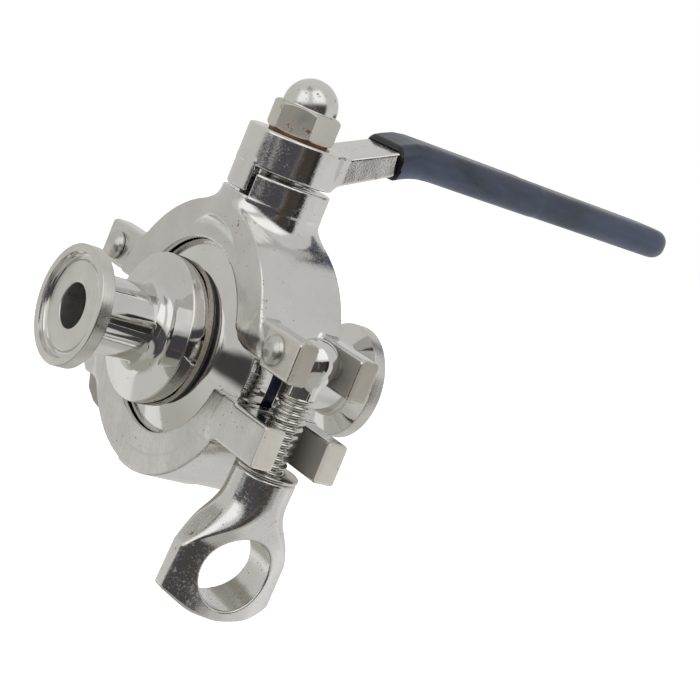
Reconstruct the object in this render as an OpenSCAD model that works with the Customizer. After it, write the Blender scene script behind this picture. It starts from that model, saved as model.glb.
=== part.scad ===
// Hygienic quarter-turn ball valve held together by a hinged two-half clamp body.
// Frame: X runs along the pipe, Z runs up the stem, the origin is the centre of the ball.
// The swing bolt is on the -Y side and the hinge on the +Y side. Shown open, lever along +X.

/* [Pipe connection] */
// Length from one ferrule face to the other
face_to_face = 73; // [66:0.5:80]
// Outer diameter of the mini clamp ferrules
ferrule_d = 25.2; // [24.9:0.1:25.4]
// Thickness of the ferrule's rim
ferrule_rim = 2.9; // [2.5:0.1:3.2]
// Diameter of the flow bore through caps, seats and ball
bore_d = 9.5; // [8:0.1:10]
// Mean diameter of the gasket groove in the ferrule face
groove_d = 20.2; // [19.8:0.1:20.4]
// Width of the gasket groove
groove_w = 1.7; // [1.4:0.1:1.8]

/* [End caps] */
// Diameter of the neck behind the ferrule
neck_d = 16; // [15:0.1:17]
// Diameter of the polished disc in front of the flange
disc_d = 31.6; // [31:0.1:32]
// Distance of the disc's face from the centre plane
disc_x = 17.2; // [16.8:0.1:18]
// Length of the disc's polished edge
disc_t = 3.9; // [3:0.1:4.4]
// Radius of the fillet between neck and disc
neck_fillet = 3.4; // [2.5:0.1:4]
// Diameter of the flange that the clamp grips
flange_d = 50.4; // [50:0.1:50.6]
// Thickness of the gasket between the two caps
gasket_t = 2.6; // [2:0.1:3]

/* [Clamp body] */
// Outer diameter of the clamp ring
ring_d = 58.4; // [58:0.1:59]
// Width of the clamp ring along the pipe
ring_w = 20.7; // [20.5:0.1:21]
// Diameter of the opening in the ring's faces
opening_d = 41.6; // [41:0.1:42.4]
// Half of the gap between the two halves at rest
split_z = 4.4; // [4.2:0.1:4.6]
// Height of the outer faces of the ears above and below the centre
ear_z = 13.2; // [13:0.1:13.4]
// How far the bolt ears reach from the centre
ear_y = 42; // [41.8:0.1:42.2]
// How far the hinge lugs reach from the centre
lug_y = 40.3; // [39.6:0.1:41]
// Width of the slot between two ears
slot_w = 10.4; // [10.2:0.1:10.8]
// Diameter of the stem boss
boss_d = 21.8; // [21.2:0.1:22.4]
// Height of the boss floor above the centre
boss_z = 32.5; // [32:0.1:32.6]
// Height of the stop wall's top above the centre
stop_z = 37.5; // [36.8:0.1:37.6]

/* [Rivets and swing bolt] */
// Distance of both rivets from the stem plane
rivet_y = 34.5; // [34.3:0.1:34.7]
// Height of both rivets above the centre
rivet_z = 8.8; // [8.6:0.1:9]
// Diameter of the rivet shanks
rivet_d = 5; // [4.6:0.1:5.2]
// Diameter of the swing bolt's head
bolt_head_d = 9.8; // [9.4:0.1:9.8]
// Outer diameter of the bolt thread
bolt_d = 6.9; // [6.6:0.1:7]
// Height of the bolt's end
bolt_end_z = -27.6; // [-28:0.1:-26]
// How far the swing bolt leans in towards the clamp at rest
bolt_lean = 3; // [0:0.5:3.5]

/* [Ring nut] */
// Height of the washer's upper face at rest
washer_z = -14.5; // [-14.8:0.1:-14.5]
// Thickness of the washer
washer_t = 0.8; // [0.8:0.1:1.2]
// Diameter of the nut's round neck
nut_neck_d = 13.2; // [12.8:0.1:13.6]
// Thickness of the bow in its middle
bow_t = 10.6; // [9.6:0.1:11.4]
// Thickness of the bow at its edges
bow_edge_t = 3; // [2.4:0.1:4]
// Full width of the bow
bow_w = 26.6; // [26:0.1:27.2]
// Height of the bow's lowest point
bow_end_z = -46.7; // [-47.4:0.1:-46.4]
// Diameter of the finger hole
bow_hole_d = 15.9; // [15.4:0.1:16]
// Height of the finger hole's centre
bow_hole_z = -36.2; // [-36.4:0.1:-36]

/* [Ball and stem] */
// Diameter of the ball
ball_d = 18; // [17.6:0.1:18.2]
// Outer diameter of the seats
seat_d = 24; // [23.6:0.1:24]
// Diameter of the stem shaft
stem_d = 9.9; // [9.7:0.1:10]
// Across flats of the stem's square end
stem_square = 7; // [6.8:0.1:7]
// Diameter of the threaded end of the stem
stem_thread_d = 7.8; // [7.4:0.1:8]

/* [Lever] */
// Diameter of the lever's hub
hub_d = 21; // [20.6:0.1:21.4]
// Height of the hub's underside
hub_z = 38.5; // [38.3:0.1:38.8]
// Height of the hub's upper face
hub_top_z = 46.5; // [46.3:0.1:46.8]
// Width of the flat lever arm
arm_w = 12.4; // [11.8:0.1:12.8]
// Distance of the arm's tip from the stem
arm_end_x = 103.5; // [98:0.5:108]
// Thickness of the vinyl sleeve
grip_wall = 1.1; // [0.9:0.1:1.3]
// Distance of the sleeve's mouth from the stem
grip_mouth_x = 21.2; // [20:0.1:24]

/* [Acorn nut] */
// Across flats of the hexagon
hex_af = 13; // [12.6:0.1:13.4]
// Height of the hexagon
hex_h = 6; // [5.6:0.1:6.4]
// Diameter of the dome
dome_d = 11.7; // [11.2:0.1:12]
// Direction of one corner of the hexagon, turned from the lever
hex_turn = 12; // [0:1:30]

/* [Hidden] */
$fn = 72;

steel = "silver";
polished_steel = "gainsboro";
overlap = 1; // extra length of a cutting tool past the face it cuts
run_fit = 0.05; // radial clearance of a shaft that turns in its hole

// End cap profile
half_length = face_to_face / 2;
bore_r = bore_d / 2;
flange_r = flange_d / 2;
cone_angle = 20;
cone_r = 17; // the flange's cone is cone_x from the centre plane at this radius
cone_x = 10;
flange_edge_x = cone_x - (flange_r - cone_r) * tan(cone_angle);
barrel_r = disc_d / 2 - 0.2;
barrel_x = cone_x + (cone_r - barrel_r) * tan(cone_angle);
ferrule_r = ferrule_d / 2;
ferrule_back_x = half_length - ferrule_rim;
ferrule_neck_x = ferrule_back_x - (ferrule_r - neck_d / 2) * tan(cone_angle);
edge_break = 0.3; // chamfer on turned edges
land_recess = 1.1; // the land inside the groove stands back from the rim's face
groove_depth = 1.5;
seat_x = 12; // depth of the seat pocket from the centre plane
port_r = 6; // radial hole for the stem, shared by both caps

// Clamp ring
ring_r = ring_d / 2;
ring_x = ring_w / 2;
grip_gap = 0.25; // axial gap between the flange cone and the ring's lip
groove_r = flange_r + 0.4;
band_step = 0.5; // the lower half's front rim stands proud of its rear rim
ear_root_y = 25.8; // inner end of the ears, inside the ring's wall
ear_face_x = 9.9; // the upper bolt ears stand back from the ring's faces
boss_r = boss_d / 2;
boss_root_z = 26.5;
boss_flare = 4; // fillet between boss and ring
bush_r = 7.2;

// Quarter-turn stop: the tab under the hub swings in the gap of the stop wall
wall_start = 208;
wall_sweep = 192;
wall_inner_r = 7.6;
tab_start = 138;
tab_sweep = 62.5;
tab_inner_r = 8;
tab_z = 33;

// Rivets
rivet_head_r = 3.1;
rivet_base_h = 0.6; // flat rim of the head, below its dome
rivet_dome_h = 1.4;

// Hinge arm of the lower half
knuckle_w = 9.8;
knuckle_r = 4.6;
cheek_bottom_z = -18.7;

// Swing bolt and nut
washer_r = 6.7;
nut_gap = 0.1; // between washer and nut
nut_top_z = washer_z - washer_t - nut_gap;

// Stem
stem_r = stem_d / 2;
tang_w = 4;
tang_len = 8;
tang_z = 6.6;
collar_z = 11.6;
collar_t = 2;
collar_r = 5.6;
packing_r = port_r - run_fit;
packing_z = 15.1;
packing_top_z = 25.2;
bush_z = 25.9;
bush_top_z = 36.6;
o_ring_r = 0.42;
o_ring_z = [18, 22];
stem_top_z = 55;

// Lever
washer_gap = 0.45; // thickness of the lock washer under the acorn nut
hex_z = hub_top_z + washer_gap;
grip_end_x = arm_end_x + 3;
// side view of the bare arm, from the hub to the tip: [x, underside, upper side]
arm_stations = [[4, 39.2, 46.3], [8.5, 39.5, 46.4], [10.5, 40.5, 46.8], [21.4, 45.7, 51.3],
    [23.8, 46.9, 52.4], [26, 47.7, 53.2], [28.5, 48.3, 53.5], [32, 48.6, 53.6], [arm_end_x, 49.6, 53.9]];

// Solid of revolution about the pipe axis: points are [radius, x]
module turned() {
    rotate([0, 90, 0]) rotate_extrude($fn = 120) children();
}

// Outline drawn in the Y-Z plane, extruded along the pipe and centred on it
module along_pipe(width) {
    rotate([90, 0, 90]) linear_extrude(height = width, center = true) children();
}

module pipe_cylinder(r, length, at = [0, 0, 0]) {
    translate(at) rotate([0, 90, 0]) cylinder(r = r, h = length, center = true);
}

module stem_port(r) {
    cylinder(r = r, h = flange_r + overlap);
}

// Quarter arc from angle a0 to a1 about [cr, cx]
function arc(cr, cx, r, a0, a1, steps) =
    [for (i = [0:steps]) let (a = a0 + (a1 - a0) * i / steps) [cr + r * cos(a), cx + r * sin(a)]];

module end_cap() {
    disc_r = disc_d / 2;
    neck_r = neck_d / 2;
    groove_r1 = groove_d / 2 + groove_w / 2;
    groove_r0 = groove_d / 2 - groove_w / 2;
    profile = concat(
        [[seat_d / 2, gasket_t / 2], [flange_r, gasket_t / 2], [flange_r, flange_edge_x],
            [barrel_r, barrel_x], [barrel_r, disc_x - disc_t], [disc_r, disc_x - disc_t],
            [disc_r, disc_x - edge_break], [disc_r - edge_break, disc_x]],
        arc(neck_r + neck_fillet, disc_x + neck_fillet, neck_fillet, 270, 180, 8),
        [[neck_r, ferrule_neck_x], [ferrule_r, ferrule_back_x],
            [ferrule_r, half_length - edge_break], [ferrule_r - edge_break, half_length],
            [groove_r1, half_length],
            [groove_r1 - edge_break / 2, half_length - groove_depth + edge_break],
            [groove_r1 - edge_break, half_length - groove_depth],
            [groove_r0 + edge_break, half_length - groove_depth], [groove_r0, half_length - land_recess],
            [bore_r, half_length - land_recess], [bore_r, seat_x], [seat_d / 2, seat_x]]);
    difference() {
        turned() polygon(profile);
        stem_port(port_r);
    }
}

module inlet_cap() { color(polished_steel) mirror([1, 0, 0]) end_cap(); }

module outlet_cap() { color(polished_steel) end_cap(); }

module body_gasket() {
    gasket_in_r = 16.5;
    gasket_out_r = 23.8;
    color("midnightblue") difference() {
        turned() translate([gasket_in_r, -gasket_t / 2]) square([gasket_out_r - gasket_in_r, gasket_t]);
        stem_port(port_r);
    }
}

// Cavity-filling seat that wraps one half of the ball
module seat() {
    ball_gap = 0.2;
    seat_gap = 0.15;
    difference() {
        pipe_cylinder(seat_d / 2, seat_x - seat_gap, [(seat_x + seat_gap) / 2, 0, 0]);
        sphere(r = ball_d / 2 + ball_gap, $fn = 96);
        pipe_cylinder(bore_r, 2 * seat_x + overlap);
        stem_port(port_r);
    }
}

module inlet_seat() { color("ivory") mirror([1, 0, 0]) seat(); }

module outlet_seat() { color("ivory") seat(); }

// Full clamp ring; the front rim can stand proud by a step
module clamp_ring(step) {
    lip_r = opening_d / 2;
    lip_x = cone_x - (lip_r - cone_r) * tan(cone_angle) + grip_gap;
    root_x = cone_x - (groove_r - cone_r) * tan(cone_angle) + grip_gap;
    turned() polygon([[lip_r, -ring_x], [ring_r + step - edge_break, -ring_x],
        [ring_r + step, edge_break - ring_x], [ring_r + step, 0], [ring_r, step],
        [ring_r, ring_x - edge_break], [ring_r - edge_break, ring_x], [lip_r, ring_x],
        [lip_r, lip_x], [groove_r, root_x], [groove_r, -root_x], [lip_r, -lip_x]]);
}

// Pair of plates either side of the slot, from the ring out to reach, between two heights
module ears(reach, low_z, high_z, face_x = ring_x) {
    ear_t = face_x - slot_w / 2;
    for (side = [-1, 1])
        translate([side * (slot_w / 2 + ear_t / 2), (reach + sign(reach) * ear_root_y) / 2,
            (low_z + high_z) / 2])
            cube([ear_t, abs(reach) - ear_root_y, high_z - low_z], center = true);
}

module half_space(low_z, high_z) {
    translate([-ring_w, -ring_d, low_z]) cube([2 * ring_w, 2 * ring_d, high_z - low_z]);
}

module stem_boss() {
    flare_z = boss_z - edge_break;
    intersection() {
        rotate_extrude() polygon(concat(
            [[0, boss_root_z], [boss_r + boss_flare, boss_root_z]],
            arc(boss_r + boss_flare, flare_z, boss_flare, 270, 180, 6),
            [[boss_r, boss_z], [0, boss_z]]));
        union() {
            translate([0, 0, boss_root_z + ring_d / 2]) cube([ring_w, ring_d, ring_d], center = true);
            cylinder(r = boss_r, h = boss_z);
        }
    }
    rotate([0, 0, wall_start]) rotate_extrude(angle = wall_sweep)
        polygon([[wall_inner_r, boss_z - overlap], [boss_r, boss_z - overlap],
            [boss_r, stop_z - edge_break], [boss_r - edge_break, stop_z], [wall_inner_r, stop_z]]);
}

module upper_clamp_half() {
    color(steel) difference() {
        union() {
            intersection() {
                clamp_ring(0);
                half_space(split_z, ring_r + overlap);
            }
            ears(-ear_y, split_z, ear_z, ear_face_x);
            ears(lug_y, split_z, ear_z + 0.6);
            stem_boss();
        }
        cylinder(r = bush_r, h = stop_z + overlap);
        for (y = [-rivet_y, rivet_y]) pipe_cylinder(rivet_d / 2, 2 * ring_w, [0, y, rivet_z]);
    }
}

// Arm that carries the hinge knuckle outside the ring, in the Y-Z plane
module hinge_arm_outline() {
    translate([rivet_y, rivet_z]) circle(r = knuckle_r);
    difference() {
        polygon([[30.1, rivet_z], [29.8, -3], [24, -8], [19, -22], [24.5, -26.2], [29.3, -25.5],
            [33.3, -23.6], [35, -20.5], [34.6, -10], [33.7, -2], [33.8, 3.4], [35.5, 4.4],
            [35.5, rivet_z]]);
        circle(r = groove_r);
    }
}

module lower_clamp_half() {
    color(steel) difference() {
        union() {
            intersection() {
                clamp_ring(band_step);
                half_space(-ring_r - overlap, -split_z);
            }
            ears(-ear_y, -ear_z, -split_z);
            along_pipe(knuckle_w) hinge_arm_outline();
            along_pipe(ring_w) polygon([[25.9, -split_z], [33, -split_z], [33, -14.5], [29.6, -17.8],
                [28.4, cheek_bottom_z], [21, cheek_bottom_z], [22, -15]]);
        }
        pipe_cylinder(rivet_d / 2 + run_fit, 2 * ring_w, [0, rivet_y, rivet_z]);
    }
}

// Headed rivet through two ears whose outer faces are face_x from the stem plane
module rivet(y, face_x) {
    dome_x = face_x + rivet_base_h;
    head = concat([[rivet_d / 2, face_x], [rivet_head_r, face_x]],
        [for (i = [0:5]) let (a = 15 * i)
            [rivet_head_r * cos(a), dome_x + rivet_dome_h * sin(a)]],
        [[0, dome_x + rivet_dome_h]]);
    tail = [for (i = [len(head) - 1:-1:0]) [head[i][0], -head[i][1]]];
    translate([0, y, rivet_z]) turned() polygon(concat(head, tail));
}

module hinge_rivet() { color(polished_steel) rivet(rivet_y, ring_x); }

module bolt_rivet() { color(polished_steel) rivet(-rivet_y, ear_face_x); }

module ball() {
    slot_gap = 0.2;
    color("whitesmoke") difference() {
        sphere(d = ball_d, $fn = 96);
        pipe_cylinder(bore_r, ball_d + overlap);
        translate([0, 0, ball_d / 2 + tang_z - slot_gap])
            cube([tang_w + slot_gap, ball_d, ball_d], center = true);
    }
}

module stem() {
    o_ring_seat_r = stem_r - 2 * o_ring_r;
    color(steel) {
        translate([0, 0, (tang_z + collar_z + edge_break) / 2])
            cube([tang_w, tang_len, collar_z + edge_break - tang_z], center = true);
        difference() {
            union() {
                translate([0, 0, collar_z]) cylinder(r = collar_r, h = collar_t);
                translate([0, 0, collar_z]) cylinder(r = stem_r, h = hub_z - collar_z);
            }
            for (z = o_ring_z) translate([0, 0, z]) difference() {
                cylinder(r = stem_r + overlap, h = 2 * o_ring_r, center = true);
                cylinder(r = o_ring_seat_r, h = 4 * o_ring_r, center = true);
            }
        }
        translate([0, 0, (hub_z + hub_top_z) / 2])
            cube([stem_square, stem_square, hub_top_z - hub_z], center = true);
        translate([0, 0, hub_top_z]) cylinder(d = stem_thread_d, h = stem_top_z - hub_top_z);
    }
}

module stem_o_rings() {
    color("black") for (z = o_ring_z)
        translate([0, 0, z]) rotate_extrude() translate([stem_r - o_ring_r, 0]) circle(r = o_ring_r, $fn = 24);
}

module sleeve(outer_r, inner_r, low_z, high_z) {
    translate([0, 0, low_z]) difference() {
        cylinder(r = outer_r, h = high_z - low_z);
        translate([0, 0, -overlap]) cylinder(r = inner_r, h = high_z - low_z + 2 * overlap);
    }
}

module thrust_washer() {
    gap = 0.1;
    color("dimgray") sleeve(packing_r, stem_r + run_fit, collar_z + collar_t + gap, packing_z - gap);
}

module stem_packing() {
    color("ivory") sleeve(packing_r, stem_r + run_fit, packing_z, packing_top_z);
}

module stem_bush() {
    color("dimgray") sleeve(bush_r, stem_r + run_fit, bush_z, bush_top_z);
}

// Side view of the arm, thickened by a margin, between two distances from the stem
module arm_solid(margin, end_x) {
    low = [for (p = arm_stations) [p[0], p[1] - margin]];
    high = [for (i = [len(arm_stations) - 1:-1:0])
        [arm_stations[i][0], arm_stations[i][2] + margin]];
    last = len(arm_stations) - 1;
    tip = [[end_x, low[last][1]], [end_x, high[0][1]]];
    half_w = arm_w / 2 + margin;
    intersection() {
        rotate([90, 0, 0]) linear_extrude(height = 2 * half_w, center = true)
            polygon(concat(low, tip, high));
        union() {
            translate([0, -half_w, 0]) cube([end_x - half_w, 2 * half_w, 2 * hub_top_z]);
            translate([end_x - half_w, 0, 0]) cylinder(r = half_w, h = 2 * hub_top_z);
        }
    }
}

module lever_handle() {
    hub_r = hub_d / 2;
    color(polished_steel) difference() {
        union() {
            translate([0, 0, hub_z]) cylinder(r = hub_r, h = hub_top_z - hub_z);
            rotate([0, 0, tab_start]) rotate_extrude(angle = tab_sweep)
                translate([tab_inner_r, tab_z]) square([hub_r - tab_inner_r, hub_z - tab_z + overlap]);
            arm_solid(0, arm_end_x);
        }
        translate([0, 0, hub_z + hub_top_z / 2 - overlap])
            cube([stem_square, stem_square, hub_top_z], center = true);
    }
}

module vinyl_grip() {
    color("darkslategray") difference() {
        arm_solid(grip_wall, grip_end_x);
        arm_solid(0, arm_end_x);
        translate([0, -arm_w, 0]) cube([grip_mouth_x, 2 * arm_w, 2 * hub_top_z]);
    }
}

module lock_washer() {
    washer_out_r = 6.4;
    split_w = 0.8;
    color("sienna") difference() {
        sleeve(washer_out_r, stem_thread_d / 2 + run_fit, hub_top_z, hex_z);
        translate([0, -split_w / 2, hub_z]) cube([washer_out_r + overlap, split_w, hub_top_z]);
    }
}

module acorn_nut() {
    hex_r = hex_af / 2 / cos(30);
    dome_rise = 0.5;
    color(steel) difference() {
        union() {
            intersection() {
                translate([0, 0, hex_z]) rotate([0, 0, hex_turn]) cylinder(r = hex_r, h = hex_h, $fn = 6);
                translate([0, 0, hex_z]) cylinder(r1 = hex_r, r2 = hex_af / 2 - 0.2, h = 2 * hex_h);
            }
            translate([0, 0, hex_z + hex_h]) cylinder(d = dome_d, h = dome_rise);
            translate([0, 0, hex_z + hex_h + dome_rise]) intersection() {
                sphere(d = dome_d);
                cylinder(d = dome_d, h = dome_d);
            }
        }
        translate([0, 0, hex_z - overlap])
            cylinder(d = stem_thread_d, h = stem_top_z + edge_break - hex_z + overlap);
    }
}

// Stands parts drawn upright on the Z axis in the bolt's place, leaning about the bolt's rivet
module leaning() {
    translate([0, -rivet_y, rivet_z]) rotate([bolt_lean, 0, 0]) translate([0, 0, -rivet_z]) children();
}

module swing_bolt() {
    color(steel) difference() {
        leaning() union() {
            translate([0, 0, rivet_z]) sphere(d = bolt_head_d);
            translate([0, 0, bolt_end_z]) cylinder(d = bolt_d, h = rivet_z - bolt_end_z);
        }
        pipe_cylinder(rivet_d / 2 + run_fit, ring_w, [0, -rivet_y, rivet_z]);
    }
}

module bolt_washer() {
    washer_gap_r = 0.1;
    color(steel) leaning()
        sleeve(washer_r, bolt_d / 2 + washer_gap_r, washer_z - washer_t, washer_z);
}

// Half width of the nut's bow at a height: it swells from the neck to its full width
function bow_half(z, top_z, wide_z) =
    let (s = min(1, max(0, (top_z - z) / (top_z - wide_z))))
    6.3 + (bow_w / 2 - 6.3) * s * s * (3 - 2 * s);

module bow_outline() {
    neck_z = -20;
    top_z = -22.5;
    wide_z = -35;
    corner_z = -43.2;
    sag = corner_z - bow_end_z;
    bottom_r = (pow(bow_w / 2, 2) + pow(sag, 2)) / (2 * sag);
    bottom_a = asin(bow_w / 2 / bottom_r);
    side = concat([[6.3, neck_z]],
        [for (i = [0:10]) let (z = top_z + (wide_z - top_z) * i / 10) [bow_half(z, top_z, wide_z), z]]);
    bottom = [for (i = [0:10]) let (a = bottom_a - 2 * bottom_a * i / 10)
        [bottom_r * sin(a), bow_end_z + bottom_r * (1 - cos(a))]];
    mirrored = [for (i = [len(side) - 1:-1:0]) [-side[i][0], side[i][1]]];
    polygon(concat(side, bottom, mirrored));
}

// Cross-section of the bow: thick in the middle and thin at its two edges
module bow_section() {
    half = bow_w / 2 + overlap;
    front = [for (i = [-8:8]) let (u = half * i / 8)
        [u, bow_t / 2 - (bow_t - bow_edge_t) / 2 * pow(abs(u) / (bow_w / 2), 2.6)]];
    polygon(concat(front, [for (i = [16:-1:0]) [front[i][0], -front[i][1]]]));
}

module ring_nut() {
    bow_root_z = -22;
    taper_end_z = -27.5;
    color(polished_steel) leaning() difference() {
        union() {
            translate([0, 0, bow_root_z]) cylinder(d = nut_neck_d, h = nut_top_z - bow_root_z);
            translate([0, 0, taper_end_z])
                cylinder(r1 = bow_t / 2, r2 = nut_neck_d / 2, h = bow_root_z - taper_end_z);
            intersection() {
                rotate([90, 0, 0]) linear_extrude(height = 2 * bow_t, center = true) bow_outline();
                translate([0, 0, bow_end_z]) linear_extrude(height = -bow_end_z) bow_section();
            }
        }
        translate([0, 0, bow_hole_z]) rotate([90, 0, 0]) cylinder(d = bow_hole_d, h = 2 * bow_t, center = true);
        translate([0, 0, bow_hole_z]) cylinder(r = bolt_d / 2 + run_fit, h = nut_top_z - bow_hole_z + overlap);
    }
}

inlet_cap();
outlet_cap();
body_gasket();
inlet_seat();
outlet_seat();
upper_clamp_half();
lower_clamp_half();
hinge_rivet();
bolt_rivet();
ball();
stem();
stem_o_rings();
thrust_washer();
stem_packing();
stem_bush();
lever_handle();
vinyl_grip();
lock_washer();
acorn_nut();
swing_bolt();
bolt_washer();
ring_nut();
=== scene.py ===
import math

import bpy
import numpy as np
from mathutils import Matrix, Vector


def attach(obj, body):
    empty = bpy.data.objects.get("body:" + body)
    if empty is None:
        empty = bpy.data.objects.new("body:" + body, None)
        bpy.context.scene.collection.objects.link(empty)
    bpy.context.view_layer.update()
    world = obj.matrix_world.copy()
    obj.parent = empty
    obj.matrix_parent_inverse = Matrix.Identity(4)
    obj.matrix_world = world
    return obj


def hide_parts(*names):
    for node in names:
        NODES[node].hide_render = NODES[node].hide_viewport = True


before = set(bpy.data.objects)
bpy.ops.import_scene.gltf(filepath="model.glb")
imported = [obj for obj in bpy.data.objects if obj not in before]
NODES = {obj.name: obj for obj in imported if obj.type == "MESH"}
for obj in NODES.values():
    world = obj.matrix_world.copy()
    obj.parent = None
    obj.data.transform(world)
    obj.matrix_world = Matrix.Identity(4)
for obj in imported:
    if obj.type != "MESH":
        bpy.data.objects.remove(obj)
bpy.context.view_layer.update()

MM = 0.001


# ---------------------------------------------------------------- distance fields, in mm
def length(*parts):
    return np.sqrt(sum(p * p for p in parts))


def smin(a, b, k):
    """Union of two solids with a fillet of about k."""
    h = np.clip(0.5 + 0.5 * (b - a) / k, 0, 1)
    return b * (1 - h) + a * h - k * h * (1 - h)


def smax(a, b, k):
    return -smin(-a, -b, k)


def d_box(p, lo, hi, r=0.0):
    """Box with corners lo and hi and edges rounded by r."""
    c = [(a + b) / 2 for a, b in zip(lo, hi)]
    q = [np.abs(p[i] - c[i]) - (hi[i] - lo[i]) / 2 + r for i in range(3)]
    inside = np.minimum(np.maximum(np.maximum(q[0], q[1]), q[2]), 0)
    return length(*[np.maximum(v, 0) for v in q]) + inside - r


def joined(u, v, r):
    """Solid where both u and v are negative, its edge rounded by r."""
    a, b = u + r, v + r
    return np.minimum(np.maximum(a, b), 0) + length(np.maximum(a, 0), np.maximum(b, 0)) - r


def d_cyl(p, r, z0, z1, edge=0.0, at=(0, 0), axis=2):
    """Cylinder along an axis; at is its centre in the other two axes, in X, Y, Z order."""
    i, j = [n for n in range(3) if n != axis]
    side = length(p[i] - at[0], p[j] - at[1]) - r
    return joined(side, np.abs(p[axis] - (z0 + z1) / 2) - (z1 - z0) / 2, edge)


def d_poly(u, v, pts):
    """Signed distance to a closed polygon in the plane."""
    best = np.full(u.shape, 1e9)
    sign = np.ones(u.shape)
    for (ax, ay), (bx, by) in zip(pts, pts[1:] + pts[:1]):
        ex, ey, wx, wy = bx - ax, by - ay, u - ax, v - ay
        t = np.clip((wx * ex + wy * ey) / (ex * ex + ey * ey), 0, 1)
        best = np.minimum(best, (wx - ex * t) ** 2 + (wy - ey * t) ** 2)
        c1, c2, c3 = v >= ay, v < by, ex * wy > ey * wx
        sign = np.where((c1 & c2 & c3) | ~(c1 | c2 | c3), -sign, sign)
    return sign * np.sqrt(best)


def d_slab(outline, across, half, r):
    """Flat piece: outline distance, extruded half each way, edges rounded by r."""
    return joined(outline, np.abs(across) - half, r)


# ---------------------------------------------------------------- meshes
def surface(field, lo, hi, h):
    """Quads on the zero level of a distance field: surface nets, then moved onto the level."""
    n = [int(math.ceil((hi[i] - lo[i]) / h)) + 3 for i in range(3)]
    block = 6
    n = [(v + block - 1) // block * block for v in n]
    ax = [lo[i] - h + h * np.arange(n[i]) for i in range(3)]
    mid = [a.reshape(-1, block).mean(1) for a in ax]
    coarse = field(np.meshgrid(*mid, indexing="ij"))
    near = np.abs(coarse) < block * h * 1.25
    near = near.repeat(block, 0).repeat(block, 1).repeat(block, 2)
    f = np.sign(coarse).repeat(block, 0).repeat(block, 1).repeat(block, 2) * 9.0
    ix = np.nonzero(near)
    f[ix] = field([ax[i][ix[i]] for i in range(3)])
    inside = f < 0
    corner = {}
    mixed = np.zeros([v - 1 for v in n], bool)
    for a in (0, 1):
        for b in (0, 1):
            for c in (0, 1):
                s = tuple(slice(o, n[i] - 1 + o) for i, o in enumerate((a, b, c)))
                corner[a, b, c] = s
                mixed |= inside[s] != inside[:-1, :-1, :-1]
    cells = np.array(np.nonzero(mixed)).T
    total = np.zeros((len(cells), 3))
    count = np.zeros(len(cells))
    for axis in range(3):
        for o1 in (0, 1):
            for o2 in (0, 1):
                start = [0, 0, 0]
                start[(axis + 1) % 3], start[(axis + 2) % 3] = o1, o2
                end = list(start)
                end[axis] = 1
                fa = f[corner[tuple(start)]][mixed]
                fb = f[corner[tuple(end)]][mixed]
                cross = (fa < 0) != (fb < 0)
                t = fa[cross] / (fa[cross] - fb[cross])
                spot = cells[cross] + np.array(start, float)
                spot[:, axis] += t
                total[cross] += spot
                count[cross] += 1
    verts = np.array([a[0] for a in ax]) + h * total / count[:, None]
    index = np.full(mixed.shape, -1, np.int64)
    index[mixed] = np.arange(len(cells))
    quads = []
    for axis in range(3):
        b, c = (axis + 1) % 3, (axis + 2) % 3
        s0, s1 = [slice(1, -1)] * 3, [slice(1, -1)] * 3
        s0[axis], s1[axis] = slice(0, -1), slice(1, None)
        a0, a1 = inside[tuple(s0)], inside[tuple(s1)]
        for first in (True, False):
            edge = np.array(np.nonzero(a0 & ~a1 if first else ~a0 & a1)).T
            if not len(edge):
                continue
            base = edge.copy()
            base[:, b] += 1
            base[:, c] += 1
            ring = []
            for db, dc in ((-1, -1), (0, -1), (0, 0), (-1, 0)):
                cell = base.copy()
                cell[:, b] += db
                cell[:, c] += dc
                ring.append(index[cell[:, 0], cell[:, 1], cell[:, 2]])
            quads.append(np.array(ring if first else ring[::-1]).T)
    quads = np.concatenate(quads)
    sides = np.concatenate([quads[:, [k, (k + 1) % 4]] for k in range(4)])
    share = np.bincount(sides[:, 0], minlength=len(verts))[:, None]
    for turn in range(7):
        if turn < 3:
            near_sum = np.stack([np.bincount(sides[:, 0], verts[sides[:, 1], k], len(verts))
                                 for k in range(3)], 1)
            verts = 0.5 * verts + 0.5 * near_sum / share
        d, g = slope(field, verts)
        step = d[:, None] * g / np.maximum((g * g).sum(1, keepdims=True), 0.25)
        verts = verts - np.clip(step, -0.4 * h, 0.4 * h)
    normals = slope(field, verts)[1]
    normals /= np.maximum(np.linalg.norm(normals, axis=1, keepdims=True), 1e-9)
    return verts, quads, normals


def slope(field, verts, e=0.04):
    p = [verts[:, i] for i in range(3)]
    g = []
    for i in range(3):
        up = [p[j] + (e if j == i else 0) for j in range(3)]
        dn = [p[j] - (e if j == i else 0) for j in range(3)]
        g.append((field(up) - field(dn)) / (2 * e))
    return field(p), np.array(g).T


PIN_Y, PIN_Z = 34.5, 8.8
LEAN = Matrix.Rotation(math.radians(3), 3, "X")


def make(name, verts, faces, body, mat, replaces=(), normals=None):
    """New visible piece from points in mm. The swing bolt's parts are drawn upright, then lean."""
    if body in ("bolt", "washer", "nut"):
        pin = np.array([0, -PIN_Y, PIN_Z])
        verts = (np.asarray(verts) - pin) @ np.array(LEAN).T + pin
        if normals is not None:
            normals = normals @ np.array(LEAN).T
    mesh = bpy.data.meshes.new(name)
    faces = faces.tolist() if isinstance(faces, np.ndarray) else faces
    mesh.from_pydata(np.asarray(verts) * MM, [], faces)
    mesh.validate()
    mesh.polygons.foreach_set("use_smooth", [True] * len(mesh.polygons))
    if normals is not None:
        mesh.normals_split_custom_set_from_vertices(normals)
    obj = bpy.data.objects.new(name, mesh)
    bpy.context.scene.collection.objects.link(obj)
    mesh.materials.append(mat)
    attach(obj, body)
    if replaces:
        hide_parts(*replaces)
    return obj


def solid(name, field, lo, hi, h, body, mat, replaces=()):
    verts, quads, normals = surface(field, lo, hi, h)
    return make(name, verts, quads, body, mat, replaces, normals)


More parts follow.
